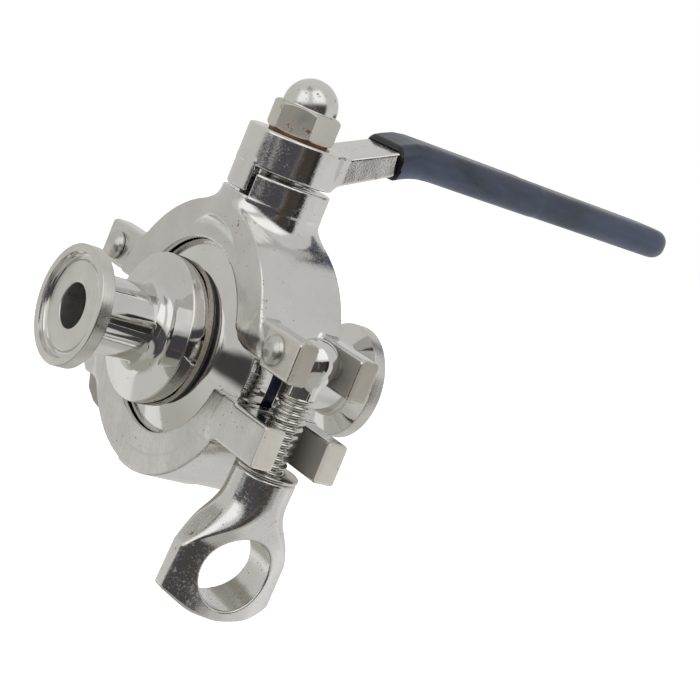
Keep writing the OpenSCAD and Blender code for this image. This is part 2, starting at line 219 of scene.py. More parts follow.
def rounded(profile, steps=5):
    """Closed profile of (a, b, radius) corners turned into points, each corner an arc."""
    out = []
    n = len(profile)
    for i, (x, y, r) in enumerate(profile):
        p, a, b = Vector((x, y)), Vector(profile[i - 1][:2]), Vector(profile[(i + 1) % n][:2])
        if r <= 0:
            out.append((x, y))
            continue
        u, v = (a - p).normalized(), (b - p).normalized()
        half = math.acos(max(-1, min(1, u.dot(v)))) / 2
        t = min(r / math.tan(half), 0.49 * (a - p).length, 0.49 * (b - p).length)
        rr = t * math.tan(half)
        c = p + (u + v).normalized() * (rr / math.sin(half))
        s, e = p + u * t - c, p + v * t - c
        turn = math.atan2(s.x * e.y - s.y * e.x, s.dot(e))
        for k in range(steps + 1):
            q = Matrix.Rotation(turn * k / steps, 2) @ s
            out.append((c.x + q.x, c.y + q.y))
    return out


def lathe(name, profile, axis, body, mat, at=(0, 0, 0), seg=160, replaces=()):
    """Turned piece: a closed profile of (radius, along) points spun about an axis through at."""
    pts = np.array(profile, float)
    ang = 2 * math.pi * np.arange(seg) / seg
    m = len(pts)
    r, z = pts[:, 0][None], pts[:, 1][None]
    c, s = np.cos(ang)[:, None], np.sin(ang)[:, None]
    if axis == "z":
        xyz = (r * c, r * s, z + 0 * c)
    elif axis == "x":
        xyz = (z + 0 * c, r * c, r * s)
    verts = np.stack(xyz, -1).reshape(-1, 3) + np.array(at)
    i, j = np.meshgrid(np.arange(seg), np.arange(m), indexing="ij")
    a = i * m + j
    b = (i + 1) % seg * m + j
    c2 = (i + 1) % seg * m + (j + 1) % m
    d = i * m + (j + 1) % m
    faces = np.stack([a, b, c2, d], -1).reshape(-1, 4)
    area = (pts[:, 0] * np.roll(pts[:, 1], -1) - np.roll(pts[:, 0], -1) * pts[:, 1]).sum()
    if area < 0:
        faces = faces[:, ::-1]
    obj = make(name, verts, faces, body, mat, replaces)
    mod = obj.modifiers.new("split", "EDGE_SPLIT")
    mod.split_angle = math.radians(35)
    return obj


# ---------------------------------------------------------------- materials
class Nodes:
    """Small helper that wires a material's nodes."""

    def __init__(self, name):
        self.mat = bpy.data.materials.new(name)
        self.mat.use_nodes = True
        self.tree = self.mat.node_tree
        self.bsdf = self.tree.nodes["Principled BSDF"]
        self.coord = self.tree.nodes.new("ShaderNodeTexCoord").outputs["Object"]

    def put(self, socket, value):
        if isinstance(value, bpy.types.NodeSocket):
            self.tree.links.new(value, socket)
        else:
            socket.default_value = value

    def set(self, **values):
        for key, value in values.items():
            self.put(self.bsdf.inputs[key.replace("_", " ")], value)

    def node(self, kind, **values):
        n = self.tree.nodes.new("ShaderNode" + kind)
        for key, value in values.items():
            if key in n.inputs:
                self.put(n.inputs[key], value)
            else:
                setattr(n, key, value)
        return n

    def math(self, op, a, b=0.0, clamp=False):
        n = self.node("Math", operation=op, use_clamp=clamp)
        self.put(n.inputs[0], a)
        self.put(n.inputs[1], b)
        return n.outputs[0]

    def mapped(self, scale=(1, 1, 1), at=(0, 0, 0)):
        n = self.node("Mapping", Vector=self.coord)
        n.inputs["Scale"].default_value = scale
        n.inputs["Location"].default_value = at
        return n.outputs[0]

    def noise(self, scale, detail=3.0, rough=0.55, vector=None, distort=0.0):
        n = self.node("TexNoise", Scale=scale, Detail=detail, Roughness=rough, Distortion=distort)
        self.put(n.inputs["Vector"], vector or self.coord)
        return n.outputs["Fac"]

    def voronoi(self, scale, feature="F1", vector=None, jitter=1.0):
        n = self.node("TexVoronoi", feature=feature, Scale=scale, Randomness=jitter)
        self.put(n.inputs["Vector"], vector or self.coord)
        return n.outputs["Distance"]

    def ramp(self, fac, *stops, ease="LINEAR"):
        """Maps a 0 to 1 value through (position, value or colour) stops."""
        n = self.node("ValToRGB")
        self.put(n.inputs["Fac"], fac)
        n.color_ramp.interpolation = ease
        while len(n.color_ramp.elements) < len(stops):
            n.color_ramp.elements.new(1.0)
        for e, (at, c) in zip(n.color_ramp.elements, stops):
            e.position = at
            e.color = (*c, 1) if isinstance(c, tuple) else (c, c, c, 1)
        return n.outputs["Color"]

    def mix(self, fac, a, b):
        n = self.node("Mix", data_type="RGBA")
        self.put(n.inputs[0], fac)
        self.put(n.inputs[6], (*a, 1) if isinstance(a, tuple) else a)
        self.put(n.inputs[7], (*b, 1) if isinstance(b, tuple) else b)
        return n.outputs[2]

    def bump(self, height, distance, strength=1.0, normal=None):
        n = self.node("Bump", Height=height, Distance=distance, Strength=strength)
        if normal is not None:
            self.put(n.inputs["Normal"], normal)
        self.put(self.bsdf.inputs["Normal"], n.outputs[0])
        return n.outputs[0]


def polished(name, tint=(0.76, 0.75, 0.735), rough=0.06, wave=0.5, pits=0.6, rust=0.0, grain=0.0, seed=0.0):
    """Polished stainless steel: hand-polished waviness, pin pits, faint haze, optional grain and rust."""
    m = Nodes(name)
    moved = m.mapped(at=(seed, seed * 0.7, -seed))
    haze = m.noise(140, 4, 0.6, moved)
    grime = m.noise(60, 5, 0.65, moved, 0.4)
    pit = m.math("LESS_THAN", m.voronoi(900, vector=moved), 0.13)
    pit = m.math("MULTIPLY", pit, m.math("GREATER_THAN", m.noise(180, 2, 0.5, moved), 0.60))
    base = m.mix(m.ramp(grime, (0.45, 0.0), (0.8, 1.0)), tint, tuple(c * 0.86 for c in tint))
    base = m.mix(m.math("MULTIPLY", pit, pits), base, (0.16, 0.13, 0.10))
    r = m.math("ADD", m.math("MULTIPLY", haze, rough * 1.2), rough * 0.45)
    r = m.math("ADD", r, m.math("MULTIPLY", pit, 0.25 * pits))
    if grain:
        fleck = m.math("MULTIPLY", m.ramp(m.noise(1900, 3, 0.7, moved), (0.47, 0.0), (0.74, 1.0)),
                       m.ramp(m.noise(210, 3, 0.6, moved), (0.38, 0.15), (0.62, 1.0)))
        r = m.math("ADD", r, m.math("MULTIPLY", fleck, 0.55 * grain))
    metal = 1.0
    if rust:
        spots = m.noise(520, 4, 0.7, moved)
        area = m.noise(75, 3, 0.6, moved)
        spots = m.math("MULTIPLY", spots, m.math("MULTIPLY", area, 2.0))
        mask = m.ramp(spots, (0.82 - 0.1 * rust, 0.0), (0.90 - 0.1 * rust, 1.0))
        base = m.mix(mask, base, m.mix(m.noise(900), (0.06, 0.025, 0.012), (0.36, 0.14, 0.035)))
        r = m.math("ADD", r, m.math("MULTIPLY", mask, 0.35))
        metal = m.math("SUBTRACT", 1.0, m.math("MULTIPLY", mask, 0.7))
    m.set(Base_Color=base, Metallic=metal, Roughness=r)
    normal = m.bump(m.noise(95, 2, 0.5, moved), 0.0004 * wave)
    if grain:
        normal = m.bump(m.noise(2600, 3, 0.65, moved), 0.000022 * grain, normal=normal)
    m.bump(pit, -0.00006 * pits, normal=normal)
    return m.mat


def faced(name, axis="x", tint=(0.74, 0.72, 0.69), rough=0.2, lines=1.0):
    """Lathe-turned steel: fine rings round an axis."""
    m = Nodes(name)
    k = "xyz".index(axis)
    xyz = m.node("SeparateXYZ", Vector=m.coord)
    i, j = [n for n in range(3) if n != k]
    sq = m.math("ADD", m.math("POWER", xyz.outputs[i], 2.0), m.math("POWER", xyz.outputs[j], 2.0))
    radius = m.math("ADD", m.math("SQRT", sq), xyz.outputs[k])
    ring = m.node("TexNoise", Scale=1.0, Detail=5.0, Roughness=0.75, noise_dimensions="1D")
    m.put(ring.inputs["W"], m.math("MULTIPLY", radius, 3600.0))
    patch = m.noise(160, 4, 0.6)
    speck = m.math("LESS_THAN", m.voronoi(1100), 0.1)
    speck = m.math("MULTIPLY", speck, m.math("GREATER_THAN", m.noise(240), 0.6))
    base = m.mix(ring.outputs["Fac"], tuple(c * 0.9 for c in tint), tint)
    base = m.mix(m.ramp(patch, (0.45, 0.0), (0.85, 0.6)), base, tuple(c * 0.78 for c in tint))
    base = m.mix(m.math("MULTIPLY", speck, 0.6), base, (0.12, 0.10, 0.08))
    rings = m.math("MULTIPLY", ring.outputs["Fac"], rough * 0.5)
    r = m.math("ADD", rings, m.math("MULTIPLY", patch, rough * 0.6))
    m.set(Base_Color=base, Metallic=1.0, Roughness=m.math("ADD", r, rough * 0.45))
    m.bump(ring.outputs["Fac"], 0.00004 * lines)
    return m.mat


def cast(name, tint=(0.70, 0.685, 0.66), rough=0.2, rust=0.0, metal=1.0, seed=0.0):
    """Ground and tumbled casting: satin with fine scratches, pits, rubbed patches and rust specks."""
    m = Nodes(name)
    moved = m.mapped(at=(seed, -seed, seed * 0.4))
    fine = m.noise(1500, 3, 0.6, moved)
    patch = m.noise(85, 4, 0.6, moved, 0.3)
    scratch = m.noise(60, 5, 0.75, m.mapped((0.6, 14, 5), (seed, 0, 0)))
    pit = m.math("LESS_THAN", m.voronoi(900, vector=moved), 0.13)
    pit = m.math("MULTIPLY", pit, m.math("GREATER_THAN", m.noise(150, 2, 0.5, moved), 0.60))
    area = m.math("MULTIPLY", m.noise(70, 3, 0.6, moved), 2.0)
    spots = m.math("MULTIPLY", m.noise(480, 4, 0.7, moved), area)
    mask = m.ramp(spots, (0.82 - 0.1 * rust, 0.0), (0.90 - 0.1 * rust, 1.0))
    base = m.mix(m.ramp(patch, (0.4, 0.0), (0.8, 1.0)), tint, tuple(c * 0.84 for c in tint))
    base = m.mix(m.math("MULTIPLY", pit, 0.7), base, (0.2, 0.15, 0.11))
    base = m.mix(mask, base, m.mix(m.noise(900), (0.07, 0.03, 0.014), (0.36, 0.15, 0.04)))
    r = m.math("ADD", m.math("MULTIPLY", patch, rough * 0.9), m.math("MULTIPLY", scratch, rough * 0.5))
    r = m.math("ADD", m.math("ADD", r, rough * 0.3), m.math("MULTIPLY", m.math("ADD", pit, mask), 0.3))
    metallic = m.math("SUBTRACT", metal, m.math("MULTIPLY", mask, 0.7 * metal))
    m.set(Base_Color=base, Metallic=metallic, Roughness=r)
    normal = m.bump(m.noise(120, 3, 0.5, moved), 0.0003)
    normal = m.bump(scratch, 0.00003, normal=normal)
    normal = m.bump(fine, 0.000012, normal=normal)
    m.bump(pit, -0.00008, normal=normal)
    return m.mat


def vinyl(name):
    """Dip-moulded vinyl: dark slate blue, faint orange peel, rubbed and dusty patches."""
    m = Nodes(name)
    patch = m.noise(75, 4, 0.6, m.mapped((0.3, 1, 1), (0, 0, 0)), 0.3)
    dust = m.noise(700, 4, 0.7)
    base = m.mix(m.ramp(patch, (0.38, 0.0), (0.66, 1.0)), (0.034, 0.041, 0.056), (0.080, 0.098, 0.170))
    base = m.mix(m.ramp(dust, (0.68, 0.0), (0.80, 0.25)), base, (0.13, 0.14, 0.17))
    rub = m.ramp(m.noise(90, 4, 0.65), (0.35, 0.26), (0.75, 0.42))
    m.set(Base_Color=base, Roughness=rub)
    m.set(Specular_IOR_Level=0.4)
    normal = m.bump(m.noise(420, 2, 0.5), 0.00006)
    m.bump(m.noise(38, 2, 0.5), 0.0004, normal=normal)
    return m.mat


def plain(name, dark, light, rough, scale=300, bump=0.00003, metal=0.0):
    m = Nodes(name)
    patch = m.noise(scale, 4, 0.6)
    m.set(Base_Color=m.mix(patch, dark, light), Metallic=metal)
    m.set(Roughness=m.ramp(m.noise(scale * 0.6), (0.3, rough * 0.8), (0.8, rough * 1.2)))
    m.bump(m.noise(scale * 4), bump)
    return m.mat


MAT = {
    "cap": polished("cap_steel", rough=0.05, wave=0.15, pits=0.5, seed=0.3),
    "ferrule": faced("ferrule_face_steel", rough=0.22),
    "bore": polished("bore_steel", tint=(0.80, 0.79, 0.77), rough=0.3, wave=0.3, pits=0.6, seed=4.4),
    "cast_dark": cast("lower_clamp_steel", tint=(0.70, 0.69, 0.665), rough=0.24, rust=0.1, seed=2.9),
    "sawn": cast("ear_end_steel", tint=(0.68, 0.65, 0.60), rough=0.5, rust=0.1, metal=0.35, seed=8.3),
    "sawn_top": cast("upper_ear_end_steel", tint=(0.43, 0.40, 0.345), rough=0.5, rust=0.2,
                     metal=0.35, seed=6.4),
    "ear_face": cast("ear_face_steel", tint=(0.60, 0.575, 0.53), rough=0.3, rust=0.1, metal=0.5, seed=4.7),
    "ear_inside": cast("ear_inside_steel", tint=(0.30, 0.275, 0.25), rough=0.5, rust=0.1,
                       metal=0.3, seed=1.9),
    "dome": polished("dome_steel", tint=(0.78, 0.775, 0.755), rough=0.2, wave=0.3, pits=0.8,
                     rust=0.1, seed=9.1),
    "vinyl_lip": plain("grip_lip", (0.003, 0.003, 0.004), (0.010, 0.010, 0.013), 0.22, 400, 0.00002),
    "turned": plain("turned_band", (0.26, 0.22, 0.17), (0.86, 0.79, 0.66), 0.38, 1500, 0.00012, 0.75),
    # Painted shade: near-black bluish colour for the undercut groove of the end caps, the shade that falls
    # in the groove painted into the surface.
    "gap": plain("undercut_painted_shade", (0.05, 0.053, 0.065), (0.16, 0.165, 0.19), 0.4, 900, 0.00006, 0.8),
    "cast": cast("clamp_steel"),
    "cast_polished": polished("clamp_polished_steel", rough=0.09, wave=0.6, pits=0.7, rust=0.45,
                              grain=0.7, seed=1.1),
    "lever": polished("lever_steel", rough=0.08, wave=0.5, pits=0.9, rust=0.6, grain=0.8, seed=2.3),
    "nut": polished("ring_nut_steel", rough=0.10, wave=0.6, pits=0.8, rust=0.45, grain=1.0, seed=3.9),
    "hex": polished("acorn_steel", tint=(0.68, 0.66, 0.60), rough=0.36, wave=0.25, pits=0.8,
                    rust=0.3, seed=5.2),
    "bolt": polished("bolt_steel", tint=(0.70, 0.68, 0.65), rough=0.16, wave=0.2, pits=0.5,
                     rust=0.3, seed=6.1),
    "rivet": polished("rivet_steel", tint=(0.66, 0.65, 0.62), rough=0.3, wave=0.2, pits=0.7,
                      rust=0.3, seed=7.7),
    "rust": plain("rusted_washer", (0.09, 0.035, 0.012), (0.35, 0.16, 0.06), 0.7, 700, 0.0001),
    "vinyl": vinyl("grip_vinyl"),
    "gasket": plain("gasket_rubber", (0.006, 0.012, 0.045), (0.016, 0.030, 0.095), 0.3, 400),
    "ptfe": plain("seat_ptfe", (0.72, 0.71, 0.67), (0.82, 0.81, 0.77), 0.35, 250),
    "filled": plain("filled_ptfe", (0.05, 0.048, 0.045), (0.10, 0.095, 0.09), 0.45, 500),
}

# CAD nodes that stay as they are
for node_name, key in (("ball", "cap"), ("inlet_seat", "ptfe"), ("outlet_seat", "ptfe"),
                       ("stem_packing", "ptfe"),
                       ("stem_o_rings", "gasket"), ("thrust_washer", "filled"), ("stem_bush", "filled"),
                       ("body_gasket", "gasket"), ("stem", "bolt")):
    NODES[node_name].data.materials.clear()
    NODES[node_name].data.materials.append(MAT[key])

# ---------------------------------------------------------------- end caps
def cap_profile():
    edge = [(4.75, 12.0, 0), (12.0, 12.0, 0), (12.0, 1.3, 0), (25.2, 1.3, 0.2), (25.2, 7.02, 0.3),
            (14.7, 10.85, 0.3), (14.7, 11.9, 0.1), (15.6, 11.9, 0.12), (15.6, 13.3, 0.05),
            (15.8, 13.3, 0.05), (15.8, 17.0, 0.35), (8.0, 17.4, 3.2), (8.0, 31.93, 1.1),
            (12.6, 33.6, 0.25), (12.6, 36.5, 0.22), (10.95, 36.5, 0.12), (10.75, 35.4, 0.3),
            (10.55, 35.0, 0.25), (9.6, 35.0, 0.3), (9.25, 35.4, 0.12), (4.75, 35.4, 0.25)]
    return rounded(edge, 8)


for end, sign in (("inlet_cap", -1), ("outlet_cap", 1)):
    profile = [(r, sign * x) for r, x in cap_profile()]
    cap = lathe(end + "_body", profile, "x", "clamp_body", MAT["cap"], seg=256, replaces=(end,))
    cap.data.materials.append(MAT["ferrule"])
    cap.data.materials.append(MAT["turned"])
    cap.data.materials.append(MAT["bore"])
    cap.data.materials.append(MAT["gap"])
    for poly in cap.data.polygons:
        c = poly.center
        along, radius = abs(c.x) / MM, math.hypot(c.y, c.z) / MM
        if along > 33.2 and radius > 4.9 and not (along < 36.3 and 9.1 < radius < 11.0):
            poly.material_index = 1
        elif 11.85 < along < 13.35 and 15.2 < radius < 15.75:
            poly.material_index = 2
        # The undercut groove between the turned band and the cone takes the painted-shade colour.
        elif 10.6 < along < 11.95 and 14.6 < radius < 15.3:
            poly.material_index = 4
        elif radius < 4.85:
            poly.material_index = 3

# ---------------------------------------------------------------- clamp halves
RING_R, RING_X, SPLIT = 29.2, 10.35, 4.4
EAR_INNER_X, EAR_FACE_X = 5.2, 9.9
LIP_R, ROOT_R, ROOT_X = 20.8, 25.6, 7.12


def d_ring(p, outer):
    r = length(p[1], p[2])
    body = joined(np.abs(r - (outer + LIP_R) / 2) - (outer - LIP_R) / 2, np.abs(p[0]) - RING_X, 0.45)
    groove = d_poly(r, np.abs(p[0]), [(10.0, 12.8), (ROOT_R, ROOT_X), (ROOT_R, -1), (10.0, -1)])
    return smax(body, -groove, 0.3)


def d_pair(p, lo, hi, r=0.7, face=RING_X):
    """Two plates either side of the bolt slot: lo and hi are (y, z) corners."""
    q = [np.abs(p[0]), p[1], p[2]]
    return d_box(q, (EAR_INNER_X, lo[0], lo[1]), (face, hi[0], hi[1]), r)


def d_sector(p, r0, r1, z0, z1, a0, a1, edge):
    """Part of an upright ring between two angles in degrees."""
    r = length(p[0], p[1])
    wall, height = np.abs(r - (r0 + r1) / 2) - (r1 - r0) / 2, np.abs(p[2] - (z0 + z1) / 2) - (z1 - z0) / 2
    body = joined(wall, height, edge)
    mid, half = math.radians((a0 + a1) / 2), math.radians((a1 - a0) / 2)
    u = p[0] * math.cos(mid) + p[1] * math.sin(mid)
    v = np.abs(-p[0] * math.sin(mid) + p[1] * math.cos(mid))
    wedge = v * math.cos(half) - u * math.sin(half)
    if half > math.pi / 2:
        wedge = np.where(u > 0, np.minimum(wedge, -v), wedge)
    return smax(body, wedge, edge)


def f_upper(p):
    d = smax(d_ring(p, RING_R), SPLIT - p[2], 0.5)
    ears = d_pair(p, (-42.0, SPLIT), (-24.0, 13.2), 1.0, EAR_FACE_X)
    lugs = d_pair(p, (24.0, SPLIT + 0.2), (40.3, 13.8), 1.1)
    keep = ROOT_R - length(p[1], p[2])
    blend = 1.0 + 1.8 * np.clip(np.abs(p[0]) - 8.2, 0, 1) * np.clip((11.5 - p[2]) / 2, 0, 1)
    d = smin(d, smax(ears, keep, 0.3), blend)
    d = smin(d, smax(lugs, keep, 0.3), 1.4)
    d = smax(d, np.maximum(np.abs(p[0]) - RING_X, SPLIT - p[2]), 0.3)
    rolled = (np.abs(p[0]) - 10.1) * 0.83 + (6.8 - p[2]) * 0.56
    rolled = rolled - 6 * np.clip(np.maximum(p[1] + 19.5, -30.0 - p[1]) / 3, 0, 1)
    d = smax(d, rolled, 2.2)
    boss = d_cyl(p, 10.9, 20.0, 32.5, 0.5)
    boss = smax(boss, keep + 0.8, 0.3)
    d = smin(d, boss, 3.2)
    d = smin(d, d_sector(p, 7.6, 10.9, 31.5, 37.5, 208, 400, 0.45), 0.3)
    return smax(d, -d_cyl(p, 7.2, 10.0, 40.0), 0.25)


def f_lower(p):
    d = smax(d_ring(p, RING_R + 0.1), SPLIT + p[2], 0.5)
    ears = d_pair(p, (-42.0, -13.2), (-24.0, -SPLIT), 0.8)
    keep = ROOT_R - length(p[1], p[2])
    d = smin(d, smax(ears, keep, 0.3), 1.4)
    arm = d_poly(p[1], p[2], [(30.1, 8.8), (29.8, -3), (24, -8), (19, -22), (24.5, -26.2), (29.3, -25.5),
                              (33.3, -23.6), (35, -20.5), (34.6, -10), (33.7, -2), (33.8, 3.4),
                              (35.5, 4.4), (35.5, 8.8)])
    arm = smin(arm, length(p[1] - 34.5, p[2] - 8.8) - 4.6, 1.0)
    arm = smax(d_slab(arm, p[0], 4.9, 0.7), keep, 0.3)
    cheek = d_poly(p[1], p[2], [(25.5, -SPLIT), (33, -SPLIT), (33, -14.5), (29.6, -17.8), (28.4, -18.7),
                                (21, -18.7), (22, -15)])
    cheek = smax(d_slab(cheek, p[0], RING_X, 0.6), keep, 0.3)
    d = smin(d, smin(arm, cheek, 0.8), 1.2)
    pad = d_box(p, (-RING_X, -26.5, -30.1), (0.2, 3.0, -14.0), 0.6)
    pad = smax(pad, np.maximum(length(p[1], p[2]) - 29.7, keep), 0.3)
    return smax(smin(d, pad, 0.5), np.abs(p[0]) - RING_X, 0.3)


def face_dull(obj, key, end_key):
    """Ground faces square to the pipe, and the ends and insides of the ears, get their own materials."""
    for extra in (key, end_key, "ear_face", "ear_inside"):
        obj.data.materials.append(MAT[extra])
    for poly in obj.data.polygons:
        n, c = poly.normal, poly.center / MM
        if c.y < -40.9 and n.y < -0.6:
            poly.material_index = 2
        elif abs(n.x) > 0.9 and abs(c.x) < 5.6:
            poly.material_index = 4
        elif abs(n.x) > 0.93 and 9.6 < abs(c.x) < 10.1 and c.y < -30:
            poly.material_index = 3
        elif abs(n.x) > 0.93 and abs(c.x) > 9.6:
            poly.material_index = 1


upper = solid("upper_clamp_casting", f_upper, (-11.6, -42.5, 3.6), (11.6, 41, 37.8), 0.36,
              "clamp_body", MAT["cast_polished"], ("upper_clamp_half",))
lower = solid("lower_clamp_casting", f_lower, (-11, -42.5, -30.6), (11, 39.6, 13.8), 0.36,
              "lower_half", MAT["cast_polished"], ("lower_clamp_half",))
face_dull(upper, "cast", "sawn_top")
face_dull(lower, "cast_dark", "sawn")

# ---------------------------------------------------------------- rivets
for name, y, seat in (("hinge_rivet", PIN_Y, 10.36), ("bolt_rivet", -PIN_Y, 9.91)):
    half = rounded([(0, 0, 0), (2.5, 0, 0), (2.5, seat, 0), (3.1, seat, 0.1), (3.1, seat + 0.45, 0.25),
                    (2.75, seat + 1.2, 0.9), (1.7, seat + 1.8, 1.2), (0, seat + 1.97, 0)], 5)
    lathe(name + "_pin", half, "x", "clamp_body", MAT["rivet"], (0, y, PIN_Z), 64, (name,))
    lathe(name + "_pin_back", [(r, -x) for r, x in half], "x", "clamp_body", MAT["rivet"], (0, y, PIN_Z), 64)

# ---------------------------------------------------------------- lever
HUB_Z, HUB_TOP = 38.5, 46.5
ARM_HALF_W, ARM_END, GRIP_END, SLEEVE_STEP = 6.2, 103.5, 106.5, 63.0
CRANK_TOP = [(10.5, 46.8), (21.4, 51.3), (23.8, 52.4), (26, 53.2), (28.5, 53.55), (32, 53.6)]
CRANK_LOW = [(32, 48.6), (28.5, 48.3), (26, 47.7), (23.8, 46.9), (21.4, 45.7), (10.5, 40.5)]


def arm_side(x, z, whole):
    """Side view of the cranked arm: all of it, or the part under the sleeve, run on past the tip."""
    if whole:
        return d_poly(x, z, [(4, 46.3), (8.5, 46.4)] + CRANK_TOP + [(ARM_END, 53.9), (ARM_END, 49.6)]
                      + CRANK_LOW + [(8.5, 39.5), (4, 39.2)])
    return d_poly(x, z, [(12, 47.4)] + CRANK_TOP[1:] + [(112, 53.94), (112, 49.72)]
                  + CRANK_LOW[:5] + [(12, 41.2)])


def f_lever(p):
    hub = d_cyl(p, 10.5, HUB_Z, HUB_TOP, 0.55)
    side = arm_side(p[0], p[2], True)
    tip = length(np.maximum(p[0] - ARM_END + ARM_HALF_W, 0), p[1]) - ARM_HALF_W
    plan = np.maximum(np.abs(p[1]) - ARM_HALF_W, tip)
    arm = joined(side, plan, 0.6)
    d = smin(hub, arm, 1.6)
    d = smin(d, d_sector(p, 8.0, 10.5, 33.0, 40.0, 138, 200.5, 0.5), 0.3)
    return smax(d, -d_box(p, (-3.5, -3.5, 30), (3.5, 3.5, 50)), 0.05)


def from_mouth(x, z):
    """How far a point lies inside the sleeve's sloping mouth."""
    return x - 21.3 - (51.5 - z) * 0.17


def f_grip(p):
    grow = 1.1 + 0.12 * np.clip((SLEEVE_STEP - p[0]) / 1.5, 0, 1)
    side = arm_side(p[0], p[2], False)
    tip = length(np.maximum(p[0] - GRIP_END + 7.3, 0), p[1]) - ARM_HALF_W
    plan = np.maximum(np.abs(p[1]) - ARM_HALF_W, tip)
    body = joined(joined(side - grow, plan - grow, 2.9), p[0] - GRIP_END - 0.3, 3.0)
    body = smax(body, -from_mouth(p[0], p[2]) / 1.02, 0.9)
    hole = joined(side, np.abs(p[1]) - ARM_HALF_W, 0.6)
    return smax(body, -np.maximum(hole, p[0] - 60), 0.35)


solid("lever_plate", f_lever, (-10.8, -10.8, 32.5), (104, 10.8, 54.3), 0.33, "lever", MAT["lever"],
      ("lever_handle",))
grip = solid("grip_sleeve", f_grip, (17, -7.6, 42), (107.3, 7.6, 55.4), 0.36, "lever", MAT["vinyl"],
             ("vinyl_grip",))
grip.data.materials.append(MAT["vinyl_lip"])
for poly in grip.data.polygons:
    if from_mouth(poly.center.x / MM, poly.center.z / MM) < 0.55:
        poly.material_index = 1

# ---------------------------------------------------------------- nuts and washers
HEX_Z, HEX_H, HEX_AF, HEX_TURN = 46.95, 6.0, 13.0, 42


def f_acorn(p):
    flats = np.full(p[0].shape, -99.0)
    for k in range(3):
        a = math.radians(HEX_TURN + 60 * k)
        flats = np.maximum(flats, np.abs(p[0] * math.cos(a) + p[1] * math.sin(a)) - HEX_AF / 2)
    ends = np.abs(p[2] - HEX_Z - HEX_H / 2) - HEX_H / 2
    d = smax(flats, ends, 0.2)
    cone = (length(p[0], p[1]) - 6.75 + (ends + 0.1) * 1.7) / 1.97
    d = smax(d, cone, 0.15)
    ball = length(p[0], p[1], np.maximum(p[2] - HEX_Z - HEX_H - 0.5, 0)) - 5.83
    ball = np.maximum(ball, HEX_Z + 1 - p[2])
    d = smin(d, ball, 0.35)
    return smax(d, -d_cyl(p, 3.95, 40, 55.3), 0.1)


acorn = solid("acorn_cap_nut", f_acorn, (-7.8, -7.8, 46.6), (7.8, 7.8, 59.7), 0.16, "lever", MAT["hex"],
              ("acorn_nut",))
acorn.data.materials.append(MAT["dome"])
for poly in acorn.data.polygons:
    if poly.center.z / MM > HEX_Z + HEX_H + 0.15:
        poly.material_index = 1


def f_lock(p):
    d = d_cyl(p, 6.45, HUB_TOP, HEX_Z, 0.12)
    d = np.maximum(d, 3.95 - length(p[0], p[1]))
    return np.maximum(d, -d_box(p, (0, -0.4, 40), (9, 0.4, 50)))


solid("spring_lock_washer", f_lock, (-6.7, -6.7, 46.3), (6.7, 6.7, 47.2), 0.12, "lever", MAT["rust"],
      ("lock_washer",))

# ---------------------------------------------------------------- swing bolt
BOLT_R, PITCH, BOLT_END = 3.45, 1.6, -27.6


def f_head(p):
    q = [p[0], p[1] + PIN_Y, p[2] - PIN_Z]
    shank = np.maximum(length(q[0], q[1]) - 3.2, np.maximum(q[2], -8.2 - q[2]))
    d = smin(length(*q) - 4.88, shank, 1.6)
    return smax(d, -(length(q[1], q[2]) - 2.55), 0.15)


solid("swing_bolt_head", f_head, (-5.2, -39.7, 0.3), (5.2, -29.3, 14), 0.16, "bolt", MAT["cap"],
      ("swing_bolt",))


def thread(name, radius, depth, pitch, z0, z1, at, body, mat, seg=72, rows=8):
    """Threaded rod with rounded crests."""
    count = int((z1 - z0) / pitch * rows)
    z = z0 + (z1 - z0) * np.arange(count + 1) / count
    a = 2 * math.pi * np.arange(seg) / seg
    zz, aa = np.meshgrid(z, a, indexing="ij")
    phase = (zz / pitch - aa / (2 * math.pi)) % 1.0
    wave = 0.5 + 0.5 * np.cos(2 * math.pi * phase)
    wave = np.clip(wave * 1.25, 0, 1) ** 0.8
    taper = np.clip((zz - z0) / 0.9, 0, 1)
    r = radius - depth * (1 - wave) - 0.7 * (1 - taper)
    r = np.where(zz > z1 - 0.8, np.minimum(r, radius - depth * 0.5), r)
    verts = np.stack([r * np.cos(aa) + at[0], r * np.sin(aa) + at[1], zz], -1).reshape(-1, 3)
    i, j = np.meshgrid(np.arange(count), np.arange(seg), indexing="ij")
    beside = (j + 1) % seg
    f = np.stack([i * seg + j, i * seg + beside, (i + 1) * seg + beside, (i + 1) * seg + j], -1)
    faces = f.reshape(-1, 4).tolist() + [list(range(seg))[::-1], list(range(count * seg, (count + 1) * seg))]
    return make(name, verts, faces, body, mat)


thread("swing_bolt_thread", BOLT_R, 0.62, PITCH, BOLT_END, 2.6, (0, -PIN_Y), "bolt", MAT["bolt"])
washer = rounded([(3.6, -15.3, 0.1), (6.7, -15.3, 0.3), (6.7, -14.5, 0.3), (3.6, -14.5, 0.1)], 4)
lathe("flat_washer", washer, "z", "washer", MAT["bolt"], (0, -PIN_Y, 0), 96, ("bolt_washer",))

# ---------------------------------------------------------------- ring nut
NUT_TOP = -15.4
BOW = [(6.6, -5, 0), (6.6, -23.6, 9), (12.9, -33.4, 1.8), (13.3, -43.1, 1.0),
       (7.0, -45.8, 14), (0, -46.7, 14)]  # x, z and corner radius of half the outline
BOW_OUTLINE = rounded(BOW + [(-x, z, r) for x, z, r in reversed(BOW[:-1])], 9)


def f_nut(p):
    y = p[1] + PIN_Y
    side = d_poly(p[0], p[2], BOW_OUTLINE)
    t = np.clip((-19.5 - p[2]) / 12.5, 0, 1)
    t = t * t * (3 - 2 * t)
    bow = 5.3 - 3.8 * (np.minimum(np.abs(p[0]), 14) / 13.3) ** 2.6
    d = joined(side, np.abs(y) - 6.6 * (1 - t) - bow * t, 6.6 - 6.0 * t)
    d = smax(d, p[2] - NUT_TOP, 0.7)
    hole = length(p[0], p[2] + 36.2) - 7.95
    d = smax(d, -hole, 0.55)
    return smax(d, -d_cyl(p, 3.5, -36, -10, 0, (0, -PIN_Y)), 0.3)


